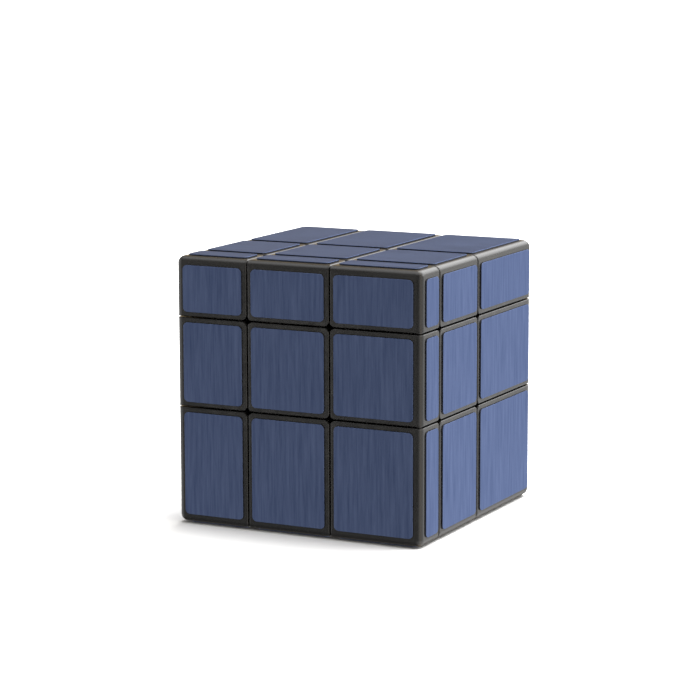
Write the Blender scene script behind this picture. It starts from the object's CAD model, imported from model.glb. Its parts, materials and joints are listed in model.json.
"""Mirror block cube: black moulded blocks of many sizes with raised blue brushed foils, on a pale floor."""

import json
import math

import bmesh
import bpy
from mathutils import Matrix, Vector


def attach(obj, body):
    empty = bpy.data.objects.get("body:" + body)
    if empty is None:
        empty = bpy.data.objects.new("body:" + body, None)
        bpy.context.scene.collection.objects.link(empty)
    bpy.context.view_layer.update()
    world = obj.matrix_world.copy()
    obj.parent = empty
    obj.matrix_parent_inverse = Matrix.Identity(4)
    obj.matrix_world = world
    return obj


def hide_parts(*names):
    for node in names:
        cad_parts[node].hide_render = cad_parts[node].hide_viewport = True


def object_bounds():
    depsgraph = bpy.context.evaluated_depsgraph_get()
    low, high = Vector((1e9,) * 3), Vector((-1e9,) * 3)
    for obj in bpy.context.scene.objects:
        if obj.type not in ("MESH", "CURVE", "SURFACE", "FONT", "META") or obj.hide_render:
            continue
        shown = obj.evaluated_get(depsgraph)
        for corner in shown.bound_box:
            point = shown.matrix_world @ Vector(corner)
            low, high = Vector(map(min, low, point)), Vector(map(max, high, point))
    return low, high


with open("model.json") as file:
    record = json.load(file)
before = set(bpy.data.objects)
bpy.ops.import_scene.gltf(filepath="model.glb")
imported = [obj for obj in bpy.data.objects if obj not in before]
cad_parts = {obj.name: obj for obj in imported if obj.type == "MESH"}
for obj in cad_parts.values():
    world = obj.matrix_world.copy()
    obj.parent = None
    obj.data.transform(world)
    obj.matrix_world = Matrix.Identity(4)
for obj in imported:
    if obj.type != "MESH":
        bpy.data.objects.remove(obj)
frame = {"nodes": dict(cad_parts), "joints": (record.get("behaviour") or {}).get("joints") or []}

cad_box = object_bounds()
scene = bpy.context.scene

# ---- Sizes, in millimetres as in part.scad. Meshes are made at this size and then scaled to metres ----
MM = 0.001
GAP = 0.2
SLICE_HALF = 9.5
# Edge radii of the blocks
OUTER_R = 1.5
SEAM_R = 0.4
INNER_R = 1.3
# Foils. Their upper edge is rolled over, and below CUT_EDGE_FROM their side shows the backing
SEAM_RIM = 1.0
OUTER_RIM = 2.1
FOIL_R = 1.0
FOIL_T = 0.28
FOIL_ROLL = 0.06
CUT_EDGE_FROM = 1.3 * FOIL_ROLL
TOUCH = 0.02
PROUD = FOIL_T + TOUCH
# Necks and feet, and the room for the core
NECK_R = 18.4
NECK_HALF = 8.0
FOOT_R = 17.2
FOOT_HALF = 6.0
ROOM_R = 12.5
# A centre block's hub, from HUB_END to HUB_ROOT, with the screw's well, bore and cap
HUB_R = 5.0
ARM_END = 7.3
HUB_END = ARM_END + GAP
HUB_ROOT = ROOM_R + 2
FLOOR_THICK = 1.6
FLOOR_TOP = HUB_END + FLOOR_THICK
WELL_R = 3.4
BORE_R = 1.33
CAP_T = 1.5
CAP_SEAM = 0.06
SPIGOT_L = 1.0
SPIGOT_WALL = 1.0

# ---- Mesh settings. Tools for booleans reach past what they cut by OVERSHOOT, or as far as FAR ----
EDGE_STEPS = 8
ARC_STEPS = 8
ROLL_STEPS = 3
BALL_SEGMENTS = 128
TUBE_SEGMENTS = 64
OVERSHOOT = 1.0
FAR = 100.0
SAME_POINT = 1e-4
SHARP_ANGLE = math.radians(32)

# ---- The frame: the cube's box and the middle of its core ----
core = Vector(frame["joints"][0]["pos_m"]) / MM
low_corner, high_corner = (Vector(c) / MM for c in cad_box)
cube_low = low_corner - core
cube_high = high_corner - core

LAYER_WORDS = (
    (2, -1, "bottom"), (2, 1, "top"), (1, -1, "front"), (1, 1, "back"), (0, -1, "left"), (0, 1, "right"),
)
KINDS = {1: "centre", 2: "edge", 3: "corner"}
SLOTS = [
    (x, y, z)
    for x in (-1, 0, 1) for y in (-1, 0, 1) for z in (-1, 0, 1)
    if (x, y, z) != (0, 0, 0)
]


def body_name(s):
    return "_".join(word for axis, side, word in LAYER_WORDS if s[axis] == side)


def block_name(s):
    return body_name(s) + "_" + KINDS[sum(map(abs, s))]


def block_range(s, cut):
    """A block's low and high corners from the core. The outer layers are cut off at the cut's distance."""
    low, high = Vector(), Vector()
    for a, side in enumerate(s):
        low[a] = {-1: cube_low[a] + PROUD, 0: GAP / 2 - SLICE_HALF, 1: cut + GAP / 2}[side]
        high[a] = {-1: -cut - GAP / 2, 0: SLICE_HALF - GAP / 2, 1: cube_high[a] - PROUD}[side]
    return low, high


# ---- Mesh helpers ----
def new_object(name, bm):
    mesh = bpy.data.meshes.new(name)
    bm.to_mesh(mesh)
    bm.free()
    obj = bpy.data.objects.new(name, mesh)
    scene.collection.objects.link(obj)
    return obj


def remove(obj):
    mesh = obj.data
    bpy.data.objects.remove(obj)
    bpy.data.meshes.remove(mesh)


def box_mesh(low, high):
    bm = bmesh.new()
    bmesh.ops.create_cube(bm, size=1.0)
    size = high - low
    middle = (low + high) / 2
    for v in bm.verts:
        v.co = Vector(v.co[a] * size[a] + middle[a] for a in range(3))
    return bm


def ball_mesh(radius):
    bm = bmesh.new()
    bmesh.ops.create_uvsphere(bm, u_segments=BALL_SEGMENTS, v_segments=BALL_SEGMENTS // 2, radius=radius)
    return bm


def towards(s):
    """The turn that carries +Z to a centre block's direction."""
    return Vector((0, 0, 1)).rotation_difference(Vector(s)).to_matrix().to_4x4()


def tube_mesh(s, radius, start, end):
    bm = bmesh.new()
    bmesh.ops.create_cone(
        bm, cap_ends=True, segments=TUBE_SEGMENTS, radius1=radius, radius2=radius, depth=end - start
    )
    bm.transform(towards(s) @ Matrix.Translation((0, 0, (start + end) / 2)))
    return bm


def bake(obj):
    """Applies an object's modifiers to its mesh."""
    graph = bpy.context.evaluated_depsgraph_get()
    mesh = bpy.data.meshes.new_from_object(obj.evaluated_get(graph))
    old = obj.data
    obj.modifiers.clear()
    obj.data = mesh
    bpy.data.meshes.remove(old)
    return obj


def combine(target, tool, operation):
    """A boolean on target, baked into its mesh."""
    mod = target.modifiers.new(operation, "BOOLEAN")
    mod.operation = operation
    mod.solver = "MANIFOLD"
    mod.object = tool
    bake(target)
    remove(tool)
    return target


def plane_axes(axis, side):
    """Two axes in a face's plane that turn anticlockwise seen from outside it."""
    u, v = (axis + 1) % 3, (axis + 2) % 3
    return (u, v) if side > 0 else (v, u)


def foil_range(s, axis):
    """The low and high corners of the foil on one outer face."""
    low, high = block_range(s, SLICE_HALF)
    for b in range(3):
        low[b] = cube_low[b] + OUTER_RIM if s[b] < 0 else low[b] + SEAM_RIM
        high[b] = cube_high[b] - OUTER_RIM if s[b] > 0 else high[b] - SEAM_RIM
    low[axis] = cube_high[axis] - FOIL_T if s[axis] > 0 else cube_low[axis]
    high[axis] = low[axis] + FOIL_T
    return low, high


def ring_points(low, high, axis, side, inset, level, radius):
    """A rounded rectangle in the plane at that level, inset from the box's other faces."""
    u, v = plane_axes(axis, side)
    points = []
    for k, (su, sv) in enumerate(((1, 1), (-1, 1), (-1, -1), (1, -1))):
        cu = (high[u] - inset - radius) if su > 0 else (low[u] + inset + radius)
        cv = (high[v] - inset - radius) if sv > 0 else (low[v] + inset + radius)
        for i in range(ARC_STEPS + 1):
            angle = math.radians(90) * (k + i / ARC_STEPS)
            p = Vector((0, 0, 0))
            p[axis] = level
            p[u] = cu + radius * math.cos(angle)
            p[v] = cv + radius * math.sin(angle)
            points.append(p)
    return points


def bridge(bm, outer, inner):
    """A band of faces between two rings."""
    count = len(outer)
    for i in range(count):
        j = (i + 1) % count
        bm.faces.new((outer[i], outer[j], inner[j], inner[i]))


def make_shell(s):
    """A block's outer shape. An edge's radius depends on how many of its two sides face outwards."""
    low, high = block_range(s, SLICE_HALF)
    middle = (low + high) / 2
    bm = box_mesh(low, high)
    weight = bm.edges.layers.float.new("bevel_weight_edge")
    for e in bm.edges:
        a, b = (v.co for v in e.verts)
        across = [axis for axis in range(3) if abs(a[axis] - b[axis]) < SAME_POINT]
        sides = [(axis, 1 if a[axis] > middle[axis] else -1) for axis in across]
        outward = sum(s[axis] == side for axis, side in sides)
        e[weight] = (INNER_R, SEAM_R, OUTER_R)[outward] / OUTER_R
    shell = new_object(block_name(s) + "_moulding", bm)
    bevel = shell.modifiers.new("round edges", "BEVEL")
    bevel.width = OUTER_R
    bevel.segments = EDGE_STEPS
    bevel.limit_method = "WEIGHT"
    bevel.use_clamp_overlap = False
    return bake(shell)


def inner_level(s, half, radius):
    """A block's neck or foot, which ends in a ball's surface round the core."""
    level = new_object("level", box_mesh(*block_range(s, half)))
    return combine(level, new_object("ball", ball_mesh(radius - GAP / 2)), "INTERSECT")


def groove(s, half, radius):
    """Room for the necks or feet of the blocks beside this one."""
    side = Vector(half - GAP / 2 if s[a] == 0 else FAR for a in range(3))
    ball = new_object("groove", ball_mesh(radius + GAP / 2))
    return combine(ball, new_object("side", box_mesh(-side, side)), "DIFFERENCE")


def finish_mesh(obj):
    """Scales to metres, places on the core, and smooths all but the sharp corners."""
    bm = bmesh.new()
    bm.from_mesh(obj.data)
    bmesh.ops.remove_doubles(bm, verts=bm.verts, dist=SAME_POINT)
    bmesh.ops.dissolve_degenerate(bm, edges=bm.edges, dist=SAME_POINT)
    bm.transform(Matrix.Scale(MM, 4) @ Matrix.Translation(core))
    bm.normal_update()
    for f in bm.faces:
        f.smooth = True
    for e in bm.edges:
        e.smooth = len(e.link_faces) == 2 and e.calc_face_angle(0) < SHARP_ANGLE
    bm.to_mesh(obj.data)
    bm.free()
    weighted = obj.modifiers.new("flat faces stay flat", "WEIGHTED_NORMAL")
    weighted.mode = "FACE_AREA"
    weighted.weight = 80
    weighted.keep_sharp = True


def make_block(s):
    """A block with its neck, foot and grooves, and its hub if it is a centre block."""
    block = make_shell(s)
    combine(block, inner_level(s, NECK_HALF, NECK_R), "UNION")
    combine(block, inner_level(s, FOOT_HALF, FOOT_R), "UNION")
    if sum(map(abs, s)) < 3:
        combine(block, groove(s, NECK_HALF, NECK_R), "DIFFERENCE")
        combine(block, groove(s, FOOT_HALF, FOOT_R), "DIFFERENCE")
    combine(block, new_object("room", ball_mesh(ROOM_R + GAP / 2)), "DIFFERENCE")
    if sum(map(abs, s)) == 1:
        add_hub(block, s)
    finish_mesh(block)
    return block


def add_hub(block, s):
    """Gives a centre block the hub that its screw goes through, and a cap pressed into the hub's well."""
    axis = [abs(v) for v in s].index(1)
    reach = (cube_high[axis] if s[axis] > 0 else -cube_low[axis]) - PROUD
    cap_at = reach - CAP_T
    combine(block, new_object("hub", tube_mesh(s, HUB_R, HUB_END, HUB_ROOT)), "UNION")
    combine(block, new_object("well", tube_mesh(s, WELL_R, FLOOR_TOP, cap_at)), "DIFFERENCE")
    bore = new_object("bore", tube_mesh(s, BORE_R, HUB_END - OVERSHOOT, FLOOR_TOP + OVERSHOOT))
    combine(block, bore, "DIFFERENCE")
    seam_low = Vector((-FAR, -FAR, cap_at - CAP_SEAM / 2))
    seam_high = Vector((FAR, FAR, cap_at + CAP_SEAM / 2))
    seam = box_mesh(seam_low, seam_high)
    seam.transform(towards(s))
    combine(block, new_object("seam", seam), "DIFFERENCE")
    spigot = new_object("spigot", tube_mesh(s, WELL_R - TOUCH, cap_at - SPIGOT_L, cap_at + CAP_T / 2))
    hollow = new_object("hollow", tube_mesh(s, WELL_R - SPIGOT_WALL, cap_at - SPIGOT_L - OVERSHOOT, cap_at))
    combine(spigot, hollow, "DIFFERENCE")
    combine(block, spigot, "UNION")


# ---- Foils ----
# What moves the grain from one foil to the next, in metres across and along it
GRAIN_SHIFT = Vector((0.0137, 0.0293))


def foil_mesh(s, axis, bm, uv_layer, cut_layer):
    """A thin plate with a rolled upper edge. Its UVs are metres on the unrolled foil, V along the grain."""
    low, high = foil_range(s, axis)
    side = s[axis]
    top = high[axis] if side > 0 else low[axis]
    profile = [(0.0, FOIL_T), (0.0, CUT_EDGE_FROM)]
    for i in range(ROLL_STEPS + 1):
        turn = math.radians(90) * i / ROLL_STEPS
        profile.append((FOIL_ROLL * (1 - math.cos(turn)), FOIL_ROLL * (1 - math.sin(turn))))
    along = 0 if axis == 2 else 2
    across = next(a for a in range(3) if a not in (axis, along))
    number = SLOTS.index(s) * 3 + axis
    shift = GRAIN_SHIFT * number
    rings = []
    flat_at = {}
    for edge, depth in profile:
        ring = ring_points(low, high, axis, side, edge, top - side * depth, FOIL_R - edge)
        flat = ring_points(low, high, axis, side, edge - depth, top, FOIL_R - edge + depth)
        rings.append([bm.verts.new(p) for p in ring])
        for vert, p in zip(rings[-1], flat):
            flat_at[vert] = Vector((p[across], p[along])) * MM + shift
            vert[cut_layer] = 1.0 if depth >= CUT_EDGE_FROM else 0.0
    known = set(bm.faces)
    bm.faces.new(reversed(rings[0]))
    bm.faces.new(rings[-1])
    for outer, inner in zip(rings, rings[1:]):
        bridge(bm, outer, inner)
    for f in set(bm.faces) - known:
        for loop in f.loops:
            loop[uv_layer].uv = flat_at[loop.vert]


def make_foils(s):
    """The foils of a block's outer faces, as one object."""
    bm = bmesh.new()
    uv_layer = bm.loops.layers.uv.new("brushing")
    cut_layer = bm.verts.layers.float.new("cut_edge")
    for axis in range(3):
        if s[axis]:
            foil_mesh(s, axis, bm, uv_layer, cut_layer)
    foils = new_object(block_name(s) + "_brushed_foils", bm)
    finish_mesh(foils)
    return foils


# ---- Materials ----
def node(tree, kind, inputs=None, **settings):
    """Adds a node. An input is a value, or a socket to link."""
    made = tree.nodes.new(kind)
    for key, value in settings.items():
        setattr(made, key, value)
    for key, value in (inputs or {}).items():
        if isinstance(value, bpy.types.NodeSocket):
            tree.links.new(value, made.inputs[key])
        else:
            made.inputs[key].default_value = value
    return made


def new_material(name):
    material = bpy.data.materials.new(name)
    material.use_nodes = True
    return material, material.node_tree, material.node_tree.nodes["Principled BSDF"]


def spread(tree, value, low, high):
    """Carries 0..1 to low..high."""
    inputs = {"Value": value, "To Min": low, "To Max": high}
    return node(tree, "ShaderNodeMapRange", inputs).outputs["Result"]


def step(tree, value, start, end):
    """Rises smoothly from 0 to 1."""
    inputs = {"Value": value, "From Min": start, "From Max": end}
    return node(tree, "ShaderNodeMapRange", inputs, interpolation_type="SMOOTHSTEP").outputs["Result"]


def maths(tree, operation, *values):
    return node(tree, "ShaderNodeMath", dict(enumerate(values)), operation=operation).outputs[0]


def mix(tree, kind, factor, first, second):
    """Mixes two numbers or colours. The inputs go by number because those of all kinds share names."""
    at = {"FLOAT": 2, "RGBA": 6}[kind]
    made = node(tree, "ShaderNodeMix", {"Factor": factor, at: first, at + 1: second}, data_type=kind)
    return made.outputs[{"FLOAT": 0, "RGBA": 2}[kind]]


def noise(tree, place, scale, detail, roughness=0.5):
    inputs = {"Vector": place, "Scale": scale, "Detail": detail, "Roughness": roughness}
    return node(tree, "ShaderNodeTexNoise", inputs).outputs["Fac"]


def ramp_colour(tree, value, low, high, start=0.0, end=1.0):
    """Runs from one colour to another while the value goes from start to end."""
    ramp = node(tree, "ShaderNodeValToRGB", {"Fac": value})
    for element, at, colour in zip(ramp.color_ramp.elements, (start, end), (low, high)):
        element.position = at
        element.color = (*colour, 1)
    return ramp.outputs["Color"]


def finish_shader(tree, shader, colour, roughness, relief, strength, depth):
    """Links a surface's colour, roughness and fine relief."""
    inputs = {"Height": relief, "Strength": strength, "Distance": depth}
    normal = node(tree, "ShaderNodeBump", inputs).outputs["Normal"]
    for name, value in (("Base Color", colour), ("Roughness", roughness), ("Normal", normal)):
        tree.links.new(value, shader.inputs[name])


def black_plastic():
    """Satin moulded ABS: a fine orange-peel skin, slightly uneven gloss and rubbed edges."""
    material, tree, shader = new_material("black_plastic")
    place = node(tree, "ShaderNodeTexCoord").outputs["Object"]
    skin = noise(tree, place, 2600.0, 3.0, 0.6)
    cloud = noise(tree, place, 90.0, 4.0, 0.55)
    rubs = noise(tree, place, 420.0, 4.0, 0.65)
    edges = node(tree, "ShaderNodeNewGeometry").outputs["Pointiness"]
    wear = maths(tree, "MULTIPLY", step(tree, edges, 0.515, 0.57), step(tree, rubs, 0.38, 0.68))
    tint = ramp_colour(tree, cloud, (0.0052, 0.0048, 0.0045), (0.0095, 0.0088, 0.0083), 0.3, 0.75)
    worn = mix(tree, "RGBA", wear, tint, (0.016, 0.0155, 0.015, 1))
    gloss = maths(tree, "MULTIPLY_ADD", wear, -0.07, spread(tree, cloud, 0.2, 0.34))
    finish_shader(tree, shader, worn, gloss, skin, 0.2, 0.00001)
    return material


def blue_foil():
    """Blue-lacquered aluminium foil, brushed along V, on a dark backing that its cut edges show."""
    material, tree, shader = new_material("blue_foil")
    uv = node(tree, "ShaderNodeTexCoord").outputs["UV"]
    broad_at = node(tree, "ShaderNodeMapping", {"Vector": uv, "Scale": (1500.0, 70.0, 1.0)})
    fine_at = node(tree, "ShaderNodeMapping", {"Vector": uv, "Scale": (5200.0, 160.0, 1.0)})
    broad = noise(tree, broad_at.outputs["Vector"], 1.0, 2.0)
    fine = noise(tree, fine_at.outputs["Vector"], 1.0, 3.0, 0.7)
    grain = mix(tree, "FLOAT", 0.45, broad, fine)
    lacquer = ramp_colour(tree, grain, (0.071, 0.101, 0.207), (0.141, 0.183, 0.327), 0.3, 0.7)
    cut = node(tree, "ShaderNodeAttribute", attribute_name="cut_edge").outputs["Fac"]
    backed = mix(tree, "RGBA", cut, lacquer, (0.012, 0.013, 0.018, 1))
    finish_shader(tree, shader, backed, spread(tree, grain, 0.36, 0.5), grain, 1.0, 0.00003)
    tree.links.new(spread(tree, cut, 1.0, 0.0), shader.inputs["Metallic"])
    shader.inputs["Specular Tint"].default_value = (0.72, 0.8, 1.0, 1)
    shader.inputs["Anisotropic"].default_value = 0.7
    tangent = node(tree, "ShaderNodeTangent", direction_type="UV_MAP", uv_map="brushing")
    tree.links.new(tangent.outputs["Tangent"], shader.inputs["Tangent"])
    return material


def core_plastic():
    material, tree, shader = new_material("core_plastic")
    place = node(tree, "ShaderNodeTexCoord").outputs["Object"]
    cloud = noise(tree, place, 300.0, 4.0)
    tint = ramp_colour(tree, cloud, (0.66, 0.65, 0.60), (0.80, 0.79, 0.74))
    finish_shader(tree, shader, tint, spread(tree, cloud, 0.35, 0.5), cloud, 0.2, 0.00005)
    return material


def plated_steel(name, low, high):
    """Zinc-plated steel whose roughness varies between low and high."""
    material, tree, shader = new_material(name)
    place = node(tree, "ShaderNodeTexCoord").outputs["Object"]
    cloud = noise(tree, place, 900.0, 5.0, 0.65)
    tint = ramp_colour(tree, cloud, (0.46, 0.46, 0.47), (0.64, 0.64, 0.63))
    finish_shader(tree, shader, tint, spread(tree, cloud, low, high), cloud, 0.25, 0.00001)
    shader.inputs["Metallic"].default_value = 1.0
    return material


def dress(obj, material):
    obj.data.materials.clear()
    obj.data.materials.append(material)


# ---- The object ----
plastic = black_plastic()
foil = blue_foil()
for s in SLOTS:
    block = make_block(s)
    dress(block, plastic)
    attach(block, body_name(s))
    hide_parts(block_name(s))
    foils = make_foils(s)
    dress(foils, foil)
    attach(foils, body_name(s))
    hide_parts(block_name(s) + "_foils")
dress(frame["nodes"]["core_spider"], core_plastic())
steel = plated_steel("steel", 0.25, 0.4)
for name in ("tension_screws", "spring_washers"):
    dress(frame["nodes"][name], steel)
dress(frame["nodes"]["tension_springs"], plated_steel("spring_steel", 0.2, 0.35))

# ---- Floor, light and camera. The camera's angles, distance and lens were fitted to the photo ----
AZIMUTH = math.radians(26.388)
ELEVATION = math.radians(10.187)
ROLL = math.radians(-0.128)
DISTANCE = 0.56396
LENS = 135.5
AIM_FROM_CENTRE = Vector((-0.00196, 0.00022, 0.00594))
FLOOR_HALF = 20.0
SUN_ENERGY = 8.0
SUN_ANGLE = math.radians(38)
SUN_TURN = (math.radians(-14), math.radians(12), 0.0)


def make_floor():
    bm = bmesh.new()
    bmesh.ops.create_grid(bm, x_segments=1, y_segments=1, size=FLOOR_HALF)
    floor = new_object("floor", bm)
    floor.location.z = cad_box[0][2]
    material, tree, shader = new_material("pale_floor")
    shader.inputs["Base Color"].default_value = (0.6, 0.6, 0.6, 1)
    shader.inputs["Roughness"].default_value = 0.9
    shader.inputs["Specular IOR Level"].default_value = 0.1
    dress(floor, material)
    floor.visible_glossy = False


# The floor fills the view, so the surroundings show only in reflections. Their colour runs from -AROUND
# in front to AROUND behind
AROUND = 1.3
SIDE_WEIGHT = 0.8
SURROUNDINGS = (
    (-1.25, (0.43, 0.43, 0.42)),
    (-1.05, (0.36, 0.36, 0.35)),
    (-0.8, (0.16, 0.16, 0.16)),
    (-0.4, (0.07, 0.07, 0.07)),
    (0.0, (0.1, 0.1, 0.1)),
    (0.3, (0.76, 0.59, 0.37)),
    (0.48, (0.72, 0.55, 0.33)),
    (0.62, (0.42, 0.32, 0.20)),
    (0.78, (0.45, 0.44, 0.43)),
    (0.95, (0.34, 0.34, 0.34)),
    (1.1, (0.42, 0.42, 0.42)),
    (1.24, (1.4, 1.39, 1.36)),
)
# Where each lamp begins and is full, along the direction's axes, and how bright it is
PANEL_X, PANEL_Y, PANEL_Z, PANEL_LEVEL = (-0.35, -0.05), (0.1, 0.5), (0.2, 0.38), 3.5
RIGHT_X, RIGHT_LEVEL = (0.45, 0.8), 0.85
LEFT_X, LEFT_LEVEL = (-0.6, -0.9), 0.9
GLOW_X, GLOW_Z, GLOW_LEVEL, GLOW_FRONT = (-0.1, 0.3), (-0.2, -0.45), 1.2, 0.08
CEILING_Z, CEILING_LEVEL = (0.7, 0.92), 2.0
# The shaded floor behind the cube's base, and the share of the surroundings' level that is left there
SHADE_X, SHADE_Y, SHADE_Z, SHADE_LEVEL = (-0.15, -0.35), (0.2, 0.5), (-0.02, -0.15), 0.1


def region(tree, *limits):
    """1 where every value is past the end of its limits, and 0 where any is before the start."""
    inside = 1.0
    for value, (start, end) in limits:
        inside = maths(tree, "MULTIPLY", inside, step(tree, value, start, end))
    return inside


def make_world():
    """Soft studio surroundings: dim in front, brighter behind, lamps behind, beside, below and above."""
    world = bpy.data.worlds.new("studio")
    scene.world = world
    world.use_nodes = True
    tree = world.node_tree
    direction = node(tree, "ShaderNodeTexCoord").outputs["Generated"]
    x, y, z = node(tree, "ShaderNodeSeparateXYZ", {"Vector": direction}).outputs
    around = node(
        tree, "ShaderNodeMapRange",
        {"Value": maths(tree, "MULTIPLY_ADD", x, SIDE_WEIGHT, y), "From Min": -AROUND, "From Max": AROUND},
    )
    level = node(tree, "ShaderNodeValToRGB", {"Fac": around.outputs["Result"]})
    ramp = level.color_ramp
    ramp.elements.remove(ramp.elements[1])
    for at, colour in SURROUNDINGS:
        place = (at + AROUND) / (2 * AROUND)
        element = ramp.elements[0] if at == SURROUNDINGS[0][0] else ramp.elements.new(place)
        element.position = place
        element.color = (*colour, 1)
    panel = region(tree, (x, PANEL_X), (y, PANEL_Y), (z, PANEL_Z))
    glow_share = spread(tree, step(tree, x, *GLOW_X), GLOW_FRONT, 1.0)
    glow = maths(tree, "MULTIPLY", step(tree, z, *GLOW_Z), glow_share)
    lamps = 0.0
    for lamp, strength in (
        (panel, PANEL_LEVEL),
        (step(tree, x, *RIGHT_X), RIGHT_LEVEL),
        (step(tree, x, *LEFT_X), LEFT_LEVEL),
        (glow, GLOW_LEVEL),
        (step(tree, z, *CEILING_Z), CEILING_LEVEL),
    ):
        lamps = maths(tree, "MULTIPLY_ADD", lamp, strength, lamps)
    kept = spread(tree, region(tree, (x, SHADE_X), (y, SHADE_Y), (z, SHADE_Z)), 1.0, SHADE_LEVEL)
    scaled = {0: level.outputs["Color"], "Scale": kept}
    dimmed = node(tree, "ShaderNodeVectorMath", scaled, operation="SCALE")
    total = node(tree, "ShaderNodeVectorMath", {0: dimmed.outputs["Vector"], 1: lamps}, operation="ADD")
    tree.links.new(total.outputs["Vector"], tree.nodes["Background"].inputs["Color"])


def make_sun():
    """A wide overhead sun that lights the floor but stays out of the reflections."""
    data = bpy.data.lights.new("overhead", "SUN")
    data.energy = SUN_ENERGY
    data.angle = SUN_ANGLE
    sun = bpy.data.objects.new("overhead", data)
    sun.rotation_euler = SUN_TURN
    sun.visible_glossy = False
    scene.collection.objects.link(sun)


def make_camera():
    middle = (Vector(cad_box[0]) + Vector(cad_box[1])) / 2
    place = middle + DISTANCE * Vector((
        math.sin(AZIMUTH) * math.cos(ELEVATION),
        -math.cos(AZIMUTH) * math.cos(ELEVATION),
        math.sin(ELEVATION),
    ))
    back = place - (middle + AIM_FROM_CENTRE)
    data = bpy.data.cameras.new("camera")
    data.lens = LENS
    data.clip_start = 0.01
    camera = bpy.data.objects.new("camera", data)
    camera.location = place
    turn = back.to_track_quat("Z", "Y").to_matrix() @ Matrix.Rotation(ROLL, 3, "Z")
    camera.rotation_euler = turn.to_euler()
    scene.collection.objects.link(camera)
    scene.camera = camera


make_floor()
make_world()
make_sun()
make_camera()
scene.view_settings.view_transform = "Standard"
